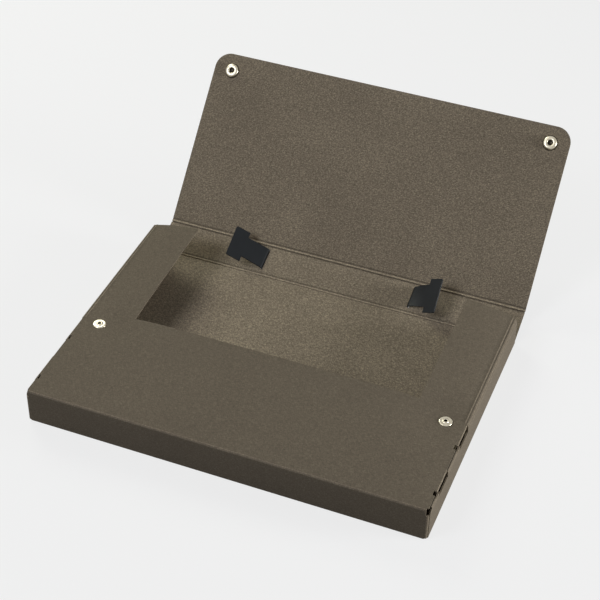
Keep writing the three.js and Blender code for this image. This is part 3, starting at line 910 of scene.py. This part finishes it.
def turnedMesh(profile, flip):
    # profile (radius, height) turned through a full circle; both ends are closed with a disc at that height.
    # flip turns the faces round, for a profile that starts at its lowest point
    profile = np.array(profile)
    n = snap["segments"]
    t = np.arange(n) * 2 * math.pi / n
    ring = np.stack([np.cos(t), np.sin(t)], -1)
    rings = np.concatenate([
        profile[1:, None, :1] * ring[None],
        np.broadcast_to(profile[1:, None, 1:], (len(profile) - 1, n, 1)),
    ], -1).reshape(-1, 3)
    points = np.concatenate([rings, [(0, 0, profile[0, 1]), (0, 0, profile[-1, 1])]])
    i = np.arange(len(profile) - 2)[:, None] * n
    j = np.arange(n)[None]
    nextJ = (j + 1) % n
    quads = np.stack([i + j, i + n + j, i + n + nextJ, i + nextJ], -1).reshape(-1, 4).tolist()
    last = (len(profile) - 2) * n
    top = [(len(rings), a, (a + 1) % n) for a in range(n)]
    bottom = [(len(rings) + 1, last + (a + 1) % n, last + a) for a in range(n)]
    faces = [f[::-1] if flip else f for f in quads + top + bottom]
    return points, faces


def snapPiece(name, shape, flip, place, body, node):
    # the mesh's last two points are the middles of its first and last disc
    points, faces = turnedMesh(shape["profile"], flip)
    # painted shade in the bore and a painted contact shadow on the ring at the board's face
    snapShade = np.zeros(len(points))
    snapShade[:max(shape["boreEnd"] - 1, 0) * snap["segments"]] = 1
    snapShade[len(points) - 2 - shape["shadowRing"] * snap["segments"]:-2] = 1
    snapShade[-2] = min(shape["boreEnd"], 1)
    piece = finishPiece(name, place(points), faces, {"snapShade": snapShade}, nickel, snap["sharpAngle"])
    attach(piece, body)
    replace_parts(piece, node)


for word, sign in (("left", -1), ("right", 1)):
    def onPanel(points, sign=sign):
        return points + (sign * k["studX"], k["studY"], k["height"])

    def inLid(points, sign=sign):
        seat = (sign * k["studX"], snap["lidY"], h["face"] + snap["seat"])
        return placed(points + seat, highCrease, lidAngle)

    def outLid(points, sign=sign):
        seat = (sign * k["studX"], snap["lidY"], -h["bead"] - snap["seat"])
        return placed(points + seat, highCrease, lidAngle)

    snapPiece(f"stud_{word}", snap["stud"], False, onPanel, "case", f"panel_stud_{word}")
    snapPiece(f"post_{word}", snap["post"], True, onPanel, "case", f"panel_post_{word}")
    snapPiece(f"socket_{word}", snap["socket"], False, inLid, "lid", f"lid_socket_{word}")
    snapPiece(f"cap_{word}", snap["cap"], True, outLid, "lid", f"lid_cap_{word}")
print("snaps made")


# Floor, world and lamps

studio = {
    "paper": "#EFEFEF",
    "floorHalf": 6000,
    "floorDrop": 0.1,  # the case's bottom stays clear of the paper
    "worldStrength": 0.02,
    "glow": 1.485,  # strength of the paper's own tone
    "shadowShare": 0.4,  # of the paper's tone that the lamps and shadows make
    "bounce": "#A2A2A2",  # what the floor sends back to the case, which is less than it shows
    "aim": (0, 50, 20),
    "lamps": {
        "backLamp": {"place": (-1000, 800, 900), "size": 700, "power": 9.2, "colour": "#FBFFF0"},
        "frontLamp": {"place": (-750, -1000, 1250), "size": 700, "power": 10.5, "colour": "#F0F5FF"},
        "rightLamp": {"place": (1380, 230, 340), "size": 500, "power": 16.5, "colour": "#FBFDFF"},
        "leftLamp": {"place": (-900, -250, 1500), "size": 900, "power": 2.5, "colour": "#FFF2E4"},
    },
}


def seenRays(tree):
    # the light path, and whether a ray comes from the camera or from gloss and so sees the paper's own tone
    path = addNode(tree, "ShaderNodeLightPath")
    seen = addNode(tree, "ShaderNodeMath", {"operation": "MAXIMUM"}, {
        0: path.outputs["Is Camera Ray"], 1: path.outputs["Is Glossy Ray"],
    })
    return path, seen.outputs[0]


def makeFloor(s):
    # seamless paper: the camera sees mostly its own tone, so that only a faint contact shadow shows on it
    material, tree = newMaterial("backdropPaper")
    seen = seenRays(tree)[1]
    share = addNode(tree, "ShaderNodeMath", {"operation": "MULTIPLY", 1: 1 - s["shadowShare"]}, {0: seen})
    matt = addNode(tree, "ShaderNodeBsdfDiffuse", {"Color": linearOf(s["bounce"])})
    glow = addNode(tree, "ShaderNodeEmission", {"Color": linearOf(s["paper"]), "Strength": s["glow"]})
    mix = addNode(tree, "ShaderNodeMixShader", links={
        0: share.outputs[0], 1: matt.outputs["BSDF"], 2: glow.outputs["Emission"],
    })
    addNode(tree, "ShaderNodeOutputMaterial", links={"Surface": mix.outputs["Shader"]})
    mesh = bpy.data.meshes.new("floor")
    r = s["floorHalf"] * mm
    mesh.from_pydata([(-r, -r, 0), (r, -r, 0), (r, r, 0), (-r, r, 0)], [], [(0, 1, 2, 3)])
    mesh.materials.append(material)
    floor = bpy.data.objects.new("floor", mesh)
    floor.location.z = -s["floorDrop"] * mm
    bpy.context.scene.collection.objects.link(floor)


def makeWorld(s):
    world = bpy.data.worlds.new("studioWorld")
    bpy.context.scene.world = world
    world.use_nodes = True
    tree = world.node_tree
    tree.nodes.clear()
    path, seen = seenRays(tree)
    seenToo = addNode(tree, "ShaderNodeMath", {"operation": "MAXIMUM"}, {
        0: seen, 1: path.outputs["Is Transmission Ray"],
    })
    light = addNode(tree, "ShaderNodeBackground", {"Color": (1, 1, 1, 1), "Strength": s["worldStrength"]})
    shown = addNode(tree, "ShaderNodeBackground", {"Color": linearOf(s["paper"]), "Strength": 1.0})
    mix = addNode(tree, "ShaderNodeMixShader", links={
        0: seenToo.outputs[0], 1: light.outputs[0], 2: shown.outputs[0],
    })
    addNode(tree, "ShaderNodeOutputWorld", links={"Surface": mix.outputs["Shader"]})


def makeLamps(s):
    target = Vector([place * mm for place in s["aim"]])
    for name, lamp in s["lamps"].items():
        data = bpy.data.lights.new(name, "AREA")
        data.shape, data.size = "DISK", lamp["size"] * mm
        data.energy = lamp["power"]
        data.color = linearOf(lamp["colour"])[:3]
        obj = bpy.data.objects.new(name, data)
        obj.location = Vector(lamp["place"]) * mm
        obj.rotation_euler = (target - obj.location).to_track_quat("-Z", "Y").to_euler()
        bpy.context.scene.collection.objects.link(obj)


makeCamera(camera)
makeFloor(studio)
makeWorld(studio)
makeLamps(studio)
bpy.context.scene.view_settings.view_transform = "Standard"
print("studio lit")
